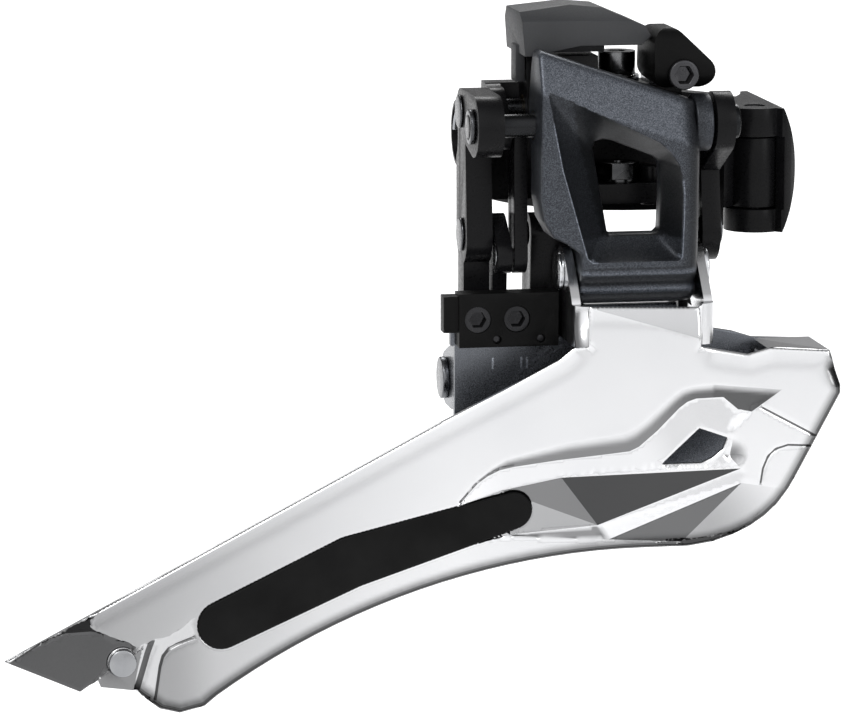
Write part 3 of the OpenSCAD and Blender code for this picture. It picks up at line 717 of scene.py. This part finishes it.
def triangulate(parts, links):
    """The net's points, its triangles, and the given points that each of its points stands for."""
    flat = np.concatenate(parts)
    result = geometry.delaunay_2d_cdt([Vector(p) for p in flat.tolist()], links, [], 0, WELD)
    spots = np.array([(v.x, v.y) for v in result[0]])
    triangles = np.array([t for t in result[2] if len(t) == 3])
    return spots, triangles, result[3]


class Rim:
    """The border of a flat region: its segments, and for each the direction into the region.

    Points are handled a block at a time, which keeps the arrays of points by segments small.
    """

    def __init__(self, ring, pairs):
        self.start, self.stop = ring[pairs[:, 0]], ring[pairs[:, 1]]
        self.middle = (self.start + self.stop) / 2
        run = self.stop - self.start
        normal = np.stack([-run[:, 1], run[:, 0]], 1) / np.hypot(run[:, 0], run[:, 1])[:, None]
        self.inward = np.where(self.within(self.middle + normal * PROBE)[:, None], normal, -normal)

    def within(self, points):
        hits = np.zeros(len(points), int)
        for first in range(0, len(points), BLOCK):
            block = slice(first, first + BLOCK)
            hits[block] = crossings(points[block], self.start, self.stop)
        return hits % 2 == 1

    def distance(self, points, chosen=slice(None)):
        """How far each point is from the border, or from its chosen segments."""
        start, run = self.start[chosen], self.stop[chosen] - self.start[chosen]
        square = (run * run).sum(1) + 1e-12
        out = np.zeros(len(points))
        for first in range(0, len(points), BLOCK):
            offset = points[first:first + BLOCK][:, None] - start
            along = np.clip((offset * run).sum(2) / square, 0, 1)
            gap = offset - along[..., None] * run
            out[first:first + BLOCK] = np.sqrt((gap * gap).sum(2)).min(1)
        return out


def flat_border(work, level):
    """The faces lying in one plane y = level, and the edges round them, in the mesh's order."""
    faces = [f for f in work.faces if all(abs(v.co.y / MM - level) < WELD for v in f.verts)]
    chosen = set(faces)
    border = {e for f in faces for e in f.edges if sum(g in chosen for g in e.link_faces) == 1}
    work.edges.index_update()
    return faces, sorted(border, key=lambda e: e.index)


def open_region(work, level):
    """Takes away the flat faces at y = level, and gives their border's vertices, places and segments."""
    _, border = flat_border(work, level)
    for edge in [e for e in border if e.calc_length() > LONG_EDGE * MM]:
        cuts = int(edge.calc_length() / MM / BORDER_STEP)
        bmesh.ops.subdivide_edges(work, edges=[edge], cuts=cuts)
    faces, border = flat_border(work, level)
    corners = list(dict.fromkeys(v for e in border for v in e.verts))
    index = {v: k for k, v in enumerate(corners)}
    ring = np.array([(v.co.x, v.co.z) for v in corners]) / MM
    pairs = np.array([(index[e.verts[0]], index[e.verts[1]]) for e in border])
    bmesh.ops.delete(work, geom=faces, context="FACES_ONLY")
    return corners, ring, pairs


def net_parts(ring, rim, grid, creases):
    """The border's own points, close rows along it, and an even net over the rest."""
    rows = [rim.middle + rim.inward * gap for gap in EDGE_ROWS]
    rows = [row[rim.distance(row) > gap * 0.93] for row, gap in zip(rows, EDGE_ROWS)]
    net = hex_points(ring.min(0), ring.max(0), grid)
    net = net[rim.within(net)]
    net = net[rim.distance(net) > EDGE_ROWS[-1] + 0.2]
    for line in creases:
        net = net[to_line(net, line)[0] > 0.17]
    return [ring] + rows + [net]


def refill(work, level, relief, grid, creases):
    """Replaces the flat faces at y = level by a dense net, moved in y by the relief function."""
    corners, ring, pairs = open_region(work, level)
    rim = Rim(ring, pairs)
    parts = net_parts(ring, rim, grid, creases)
    links = [tuple(p) for p in pairs]
    add_creases(parts, links, creases, lambda line: rim.within(line) & (rim.distance(line) > 0.04))
    spots, triangles, origin = triangulate(parts, links)
    triangles = triangles[rim.within(spots[triangles].mean(1))]
    depths = relief(spots, rim)
    verts = [None] * len(spots)
    for k in np.unique(triangles):
        source = [o for o in origin[k] if o < len(ring)]
        if source:
            verts[k] = corners[source[0]]
            verts[k].co.y += depths[k] * MM
        else:
            verts[k] = work.verts.new((spots[k][0] * MM, (level + depths[k]) * MM, spots[k][1] * MM))
    fresh = []
    for t in triangles:
        face = [verts[k] for k in t]
        if len(set(face)) == 3 and not work.faces.get(face):
            fresh.append(work.faces.new(face))
    return fresh, rim


# ---- the outer cage plate ----

def plate_sides(rim):
    """Which border edges belong to the rounded rim with its painted dark shade, and which to the folded top
    edge.
    """
    middle, inward = rim.middle, rim.inward
    near = np.abs(middle[:, None, 0] - middle[None, :, 0]) < 2.5
    lowest = np.where(near, middle[None, :, 1], 99).min(1)
    highest = np.where(near, middle[None, :, 1], -99).max(1)
    below = (inward[:, 1] > 0.25) & (middle[:, 1] < lowest + 2.4) & (middle[:, 0] > -75.5)
    front = (inward[:, 0] < -0.3) & (middle[:, 0] > 9) & (middle[:, 1] < -25)
    above = (inward[:, 1] < -0.2) & (middle[:, 1] > highest - 2.4) & ~front
    return below | front, above


def front_relief(points, rim):
    low, top = plate_sides(rim)
    return plate_depth(points, rim.distance(points, low), rim.distance(points, top), rim.distance(points))


def back_relief(points, rim):
    """The inner side stays flat, and only swells where the outer side is deeply sunk."""
    far = np.full(len(points), 9.0)
    depth = plate_depth(points, far, far, far)
    return np.clip(depth - 0.45, 0, None) * smooth(rim.distance(points) / 0.8)


def colour_corners(mesh, layer, front_tone):
    """Writes the corner colours that the metals are multiplied by.

    A face's shade holds for all its corners. A negative shade marks the relief's faces, whose tone is
    taken at each corner, a little way in, so that it runs on smoothly and still stops at a crease.
    """
    shades = np.zeros(len(mesh.polygons), np.float32)
    mesh.attributes[layer].data.foreach_get("value", shades)
    totals = np.zeros(len(mesh.polygons), int)
    mesh.polygons.foreach_get("loop_total", totals)
    coords = np.zeros((len(mesh.vertices), 3))
    mesh.vertices.foreach_get("co", coords.ravel())
    corners = np.zeros(len(mesh.loops), int)
    mesh.loops.foreach_get("vertex_index", corners)
    spots = coords[corners][:, [0, 2]] / MM
    starts = np.concatenate([[0], np.cumsum(totals)[:-1]])
    centres = np.repeat(np.add.reduceat(spots, starts) / totals[:, None], totals, axis=0)
    values = np.repeat(shades, totals)
    relief = values < 0
    values[relief] = front_tone(spots[relief] * (1 - CORNER_NUDGE) + centres[relief] * CORNER_NUDGE)
    colours = np.ones((len(mesh.loops), 4), np.float32)
    colours[:, :3] = values[:, None]
    mesh.attributes.remove(mesh.attributes[layer])
    mesh.attributes.new("tone", "FLOAT_COLOR", "CORNER").data.foreach_set("color", colours.ravel())


def plain_shade(face):
    """The shade of a face outside the relief: darker on the recessed tab at the tail, bright elsewhere."""
    centre = face.calc_center_median() / MM
    recessed = centre.x < -72 and -45.7 < centre.y < -45.1 and abs(face.normal.y) > 0.9
    return 0.3 if recessed else 1


def outer_plate():
    mesh = frame["nodes"]["outer_plate"].data.copy()
    obj = new_object("cage_outer_plate", mesh)
    work = bmesh.new()
    work.from_mesh(mesh)
    bmesh.ops.remove_doubles(work, verts=work.verts, dist=1e-6)
    bmesh.ops.dissolve_limit(work, angle_limit=math.radians(0.5), verts=work.verts, edges=work.edges)
    shade = work.faces.layers.float.new("shade")
    front, rim = refill(work, PLATE_Y, front_relief, GRID, plate_creases())
    refill(work, PLATE_Y + SHEET, back_relief, BACK_GRID, [])
    for face in work.faces:
        face[shade] = plain_shade(face)
    for face in front:
        face[shade] = -1
    bmesh.ops.recalc_face_normals(work, faces=work.faces)
    work.to_mesh(mesh)
    work.free()
    low_rim, _ = plate_sides(rim)
    colour_corners(mesh, "shade", lambda points: plate_tone(points, rim.distance(points, low_rim)))
    return place_piece(obj, "outer_plate", 40)


# ---- the outer link: a painted casting round a funnel-shaped window, lines as (x, z) in millimetres ----

LINK_OUTLINE = [
    (-19.5, 18.1), (-19, 18.6), (2.5, 11.3), (2.9, 10.9), (2.9, -16), (2.5, -16.4), (-13.3, -16.4),
    (-13.7, -16), (-13.7, -9), (-15.6, -7.6), (-17.6, -6.6), (-18.9, -4.3), (-19.5, -1),
]
LINK_TOP = [(-21, 19.3), (5, 10.5)]
LINK_RIGHT = [(2.9, 14), (2.9, -17)]
LINK_BAND = [(-21, 13.4), (3, 4.6)]
LINK_BAND_WIDTH = 5.6
WINDOW_RIM = [
    (-18.6, 12.8), (-18.3, 13.2), (-17.9, 13.2), (-4.8, 7), (-3.2, 6.2), (-1.6, 4.8), (-0.5, 3), (0.1, 0.8),
    (0.3, -1), (0.2, -9.6), (-0.3, -10.1), (-12.2, -10.1), (-12.9, -9.5), (-14.3, -4.9), (-16.5, 2.6),
]
WINDOW_HOLE = [
    (-11.4, 5), (-11, 5.9), (-10, 6.2), (-8.8, 6), (-2.9, 3.7), (-2.2, 3), (-1.9, -2), (-2, -6.4),
    (-2.5, -6.9), (-8.8, -6.9), (-9.3, -6.4),
]
LINK_FRONT_Y = (
    [-16.5, -15.9, -15.1, -14.2, -13.4, -12.9, -12.4, -11.2, -4, 14, 20],
    [-38.6, -40.1, -41.2, -41.7, -41.6, -41.9, -42.5, -42.9, -43.6, -44, -44],
)
LINK_BACK_Y = ([-16.5, -14.4, -8, 2, 11, 16.5, 20], [-34.6, -34.4, -35.4, -36.4, -34.2, -36.2, -38])
LINK_BORES = ((-38, 8.2, 4), (-36, -12.1, 3.6))
FOOT_CREASES = (-11.05, -11.75, -12.4, -12.9, -13.4, -14, -14.4, -15.1)
HOLE_Y = -38.4
LINK_STEP = 0.5
ROD_SIDES = 48


def closed(line):
    return list(line) + [line[0]]


def loop_rows(loops, within, edge_gap):
    """Close rows of points along every loop of a region."""
    rows = []
    for loop in loops:
        run = np.roll(loop, -1, axis=0) - np.roll(loop, 1, axis=0)
        side = np.stack([-run[:, 1], run[:, 0]], 1) / np.hypot(run[:, 0], run[:, 1])[:, None]
        side = np.where(within(loop + side * PROBE)[:, None], side, -side)
        for gap in EDGE_ROWS:
            row = loop + side * gap
            rows.append(row[within(row) & (edge_gap(row) > gap * 0.9)])
    return rows


def loop_links(loops):
    links, count = [], 0
    for loop in loops:
        links += [(count + k, count + (k + 1) % len(loop)) for k in range(len(loop))]
        count += len(loop)
    return links


def region_net(loops, creases, grid):
    """A net over an outline with holes: its points, its triangles, and the points' gaps to the border."""
    borders = [closed(loop.tolist()) for loop in loops]

    def within(points):
        out = inside(points, loops[0])
        for loop in loops[1:]:
            out &= ~inside(points, loop)
        return out

    def edge_gap(points):
        return np.min([to_line(points, line)[0] for line in borders], axis=0)

    net = hex_points(loops[0].min(0), loops[0].max(0), grid)
    net = net[within(net)]
    net = net[edge_gap(net) > EDGE_ROWS[-1] + 0.12]
    for line in creases:
        net = net[to_line(net, line)[0] > 0.2]
    parts, links = loops + loop_rows(loops, within, edge_gap) + [net], loop_links(loops)
    add_creases(parts, links, creases, within)
    spots, triangles, _ = triangulate(parts, links)
    return spots, triangles[within(spots[triangles].mean(1))], edge_gap(spots)


def solid_between(name, spots, triangles, near, far):
    """A closed solid over a flat net, from the surface y = near to the surface y = far."""
    work = bmesh.new()
    first = [work.verts.new((p[0] * MM, y * MM, p[1] * MM)) for p, y in zip(spots, near)]
    second = [work.verts.new((p[0] * MM, y * MM, p[1] * MM)) for p, y in zip(spots, far)]
    for t in triangles:
        work.faces.new([first[k] for k in t])
        work.faces.new([second[k] for k in t[::-1]])
    sides = dict.fromkeys((t[k], t[(k + 1) % 3]) for t in triangles for k in range(3))
    for a, b in sides:
        if (b, a) not in sides:
            work.faces.new([first[b], first[a], second[a], second[b]])
    bmesh.ops.delete(work, geom=[v for v in work.verts if not v.link_faces], context="VERTS")
    bmesh.ops.recalc_face_normals(work, faces=work.faces)
    mesh = bpy.data.meshes.new(name)
    work.to_mesh(mesh)
    work.free()
    return new_object(name, mesh)


def quarter(gap, radius):
    """How far a rounded edge of that radius has dropped at a distance from the edge."""
    t = np.clip(1 - gap / radius, 0, 1)
    return radius * (1 - np.sqrt(1 - t * t))


def link_front(points):
    y = np.interp(points[:, 1], *LINK_FRONT_Y)
    top, _ = to_line(points, LINK_TOP)
    right, _ = to_line(points, LINK_RIGHT)
    y += 2.6 * np.clip(1 - top / LINK_BAND_WIDTH, 0, 1) + 0.85 * quarter(right, 3)
    rim_gap, _ = to_line(points, closed(WINDOW_RIM))
    hole_gap, _ = to_line(points, closed(WINDOW_HOLE))
    sink = share(rim_gap, hole_gap)
    y = np.where(inside(points, WINDOW_RIM), y + (HOLE_Y - y) * sink ** 0.85, y)
    outer, _ = to_line(points, closed(LINK_OUTLINE))
    return y + 0.8 * quarter(outer, 0.8) + 0.5 * quarter(hole_gap, 0.4)


def link_back(points, edge_gap):
    """The hidden side, which swells round the two pivots."""
    y = np.interp(points[:, 1], *LINK_BACK_Y)
    for centre_y, centre_z, radius in LINK_BORES:
        bulge = radius * radius - (points[:, 1] - centre_z) ** 2
        y = np.where(bulge > 0, np.maximum(y, centre_y + np.sqrt(np.clip(bulge, 0, None))), y)
    return y - 0.6 * quarter(edge_gap, 0.6)


def add_rod(obj, centre_y, centre_z, span, radius, rounding=0.25):
    """Adds a round boss along X, with rounded ends, to a piece's mesh."""
    work = bmesh.new()
    work.from_mesh(obj.data)
    x0, x1 = span
    bend = [(rounding * (1 - math.cos(a)), radius - rounding * (1 - math.sin(a))) for a in (0, 0.5, 1, 1.57)]
    profile = [(x0, 0)] + [(x0 + s, r) for s, r in bend] + [(x1 - s, r) for s, r in bend[::-1]] + [(x1, 0)]
    rings = []
    for x, r in profile:
        ring = []
        for a in np.linspace(0, 2 * math.pi, ROD_SIDES if r else 1, endpoint=False):
            y, z = centre_y + r * math.cos(a), centre_z + r * math.sin(a)
            ring.append(work.verts.new((x * MM, y * MM, z * MM)))
        rings.append(ring)
    for low, high in zip(rings[:-1], rings[1:]):
        for k in range(ROD_SIDES):
            corners = [ring[j % len(ring)] for ring, j in ((low, k), (low, k + 1), (high, k + 1), (high, k))]
            work.faces.new(list(dict.fromkeys(corners)))
    bmesh.ops.recalc_face_normals(work, faces=work.faces)
    work.to_mesh(obj.data)
    work.free()


def link_tone(points, front_side):
    """Painted light on the casting: the upper band lighter, painted highlights on the window's lips and two
    ribs, painted shade on the rounded right side, low down and on the funnel's faces, the funnel's ledge
    lighter, and the hidden side darker.
    """
    x, z = points[:, 0], points[:, 1]
    rim_gap, _ = to_line(points, closed(WINDOW_RIM))
    top, _ = to_line(points, LINK_TOP)
    right, _ = to_line(points, LINK_RIGHT)
    # Painted light: the upper band lighter; painted shade on the rounded right side.
    tone = np.where(top < LINK_BAND_WIDTH, 1.1, 0.7)
    tone *= 0.32 + 0.68 * smooth((right - 0.6) / 3)
    # Painted shade low down on the link.
    tone = np.where(z < -11, 0.3, tone)
    # Painted shade on the funnel's faces, the ledge at its foot lighter than the walls.
    funnel_wall_shade = np.where(x + 0.27 * z < -12, 0.42, 0.2)
    funnel = np.where(z < -7.1, 0.7 - 0.3 * smooth((-7.3 - z) / 2), funnel_wall_shade)
    tone = np.where(inside(points, WINDOW_RIM), funnel, tone)
    # Painted highlights on the window's lips and on two ribs low down.
    lip = (rim_gap < 0.16) & (z < 9) & (z > -10.3)
    tone = np.where(lip & ((x < -11.5) | (x > 0)), 3, tone)
    rib_highlights = (np.abs(z + 11.4) < 0.35) | (np.abs(z + 14.2) < 0.22)
    return np.where(front_side, np.where(rib_highlights, 1.5, tone), 0.5)


def outer_link():
    rim = divide_line(closed(WINDOW_RIM), LINK_STEP)
    creases = [offset_line(rim, gap) for gap in (-0.17, 0, 0.17)] + [divide_line(LINK_BAND, LINK_STEP)]
    creases += [divide_line([(-13.6, z), (2.8, z)], LINK_STEP) for z in FOOT_CREASES]
    loops = [divide_line(closed(loop), LINK_STEP)[:-1] for loop in (LINK_OUTLINE, WINDOW_HOLE)]
    spots, triangles, edge_gap = region_net(loops, creases, LINK_STEP)
    near, far = link_front(spots), link_back(spots, edge_gap)
    obj = solid_between("outer_link_casting", spots, triangles, near, far)
    add_rod(obj, -38, 8.2, (2.4, 4.8), 3.95)
    coords = np.array([v.co[:] for v in obj.data.vertices]) / MM
    middle = (np.interp(coords[:, 2], *LINK_FRONT_Y) + np.interp(coords[:, 2], *LINK_BACK_Y)) / 2
    give_tone(obj.data, link_tone(coords[:, [0, 2]], coords[:, 1] < middle + 1.6))
    return place_piece(obj, "outer_link", 50)


# ---- the assembly ----

HAND_BUILT = {"outer_plate", "outer_link"}
BEVELS = {
    "clamp_band": 0.6, "base_member": 0.6, "arm_cover": 0.8, "cable_arm": 0.6, "inner_link": 0.6,
    "toggle_link": 0.5, "limit_block": 0.9, "tension_lever": 0.6, "inner_plate": 0.2,
}
# Whole-piece tones. The base nut, seen through the window, and the outer pivot pin, between the rear ear and
# the link, are darkened as painted shade.
TONES = {
    "base_nut": 0.1, "tension_screw": 1.5, "toggle_top_rivet": 0.35, "toggle_low_rivet": 0.35,
    "outer_skid": 1.4, "inner_plate": 1.2, "cable_bolt": 0.25, "low_limit_screw": 0.7,
    "high_limit_screw": 0.7, "arm_pivot_pin": 0.3, "outer_pivot_pin": 0.08, "inner_pivot_pins": 0.3,
    "inner_cage_pin": 0.5, "arm_bushes": 0.15, "tail_rivet": 0.55, "pin_clips": 0.3, "tail_spacer": 0.35,
}
MARK_WIDTH = 0.28
MARK_HEIGHT = 0.06
MARK_TONE = 6.0
MARKS = (
    ((-24.3, -24.4), (-24.3, -25.7)),
    ((-20.3, -24.4), (-20.3, -25.7)),
    ((-19.5, -24.4), (-19.5, -25.7)),
)


def add_stroke(work, start, stop, y):
    """A thin raised bar between two (x, z) points, standing a little proud of the plane y."""
    (x0, z0), (x1, z1) = start, stop
    half = MARK_WIDTH / 2
    low, high = (min(x0, x1) - half, min(z0, z1) - half), (max(x0, x1) + half, max(z0, z1) + half)
    size = Vector((high[0] - low[0], MARK_HEIGHT * 2, high[1] - low[1])) * MM
    made = bmesh.ops.create_cube(work, size=1)["verts"]
    bmesh.ops.scale(work, vec=size, verts=made)
    middle = Vector(((low[0] + high[0]) / 2, y, (low[1] + high[1]) / 2)) * MM
    bmesh.ops.translate(work, vec=middle, verts=made)


def adjuster_marks():
    """Plain raised bars beside the limit screws: one by the low screw and two by the high one."""
    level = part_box("inner_plate")[0].y / MM
    mesh = bpy.data.meshes.new("adjuster_marks")
    work = bmesh.new()
    for start, stop in MARKS:
        add_stroke(work, start, stop, level)
    work.to_mesh(mesh)
    work.free()
    obj = new_object("adjuster_marks", mesh)
    give_tone(mesh, np.full(len(mesh.vertices), MARK_TONE))
    return place_piece(obj, "inner_plate", 40, replaces=False)


def build_dressed_nodes():
    for node in sorted(frame["nodes"]):
        if node not in HAND_BUILT:
            dressed(node, BEVELS.get(node, 0.2), tone=TONES.get(node, 1.0))


add_camera()
add_stage()
outer_plate()
outer_link()
adjuster_marks()
build_dressed_nodes()
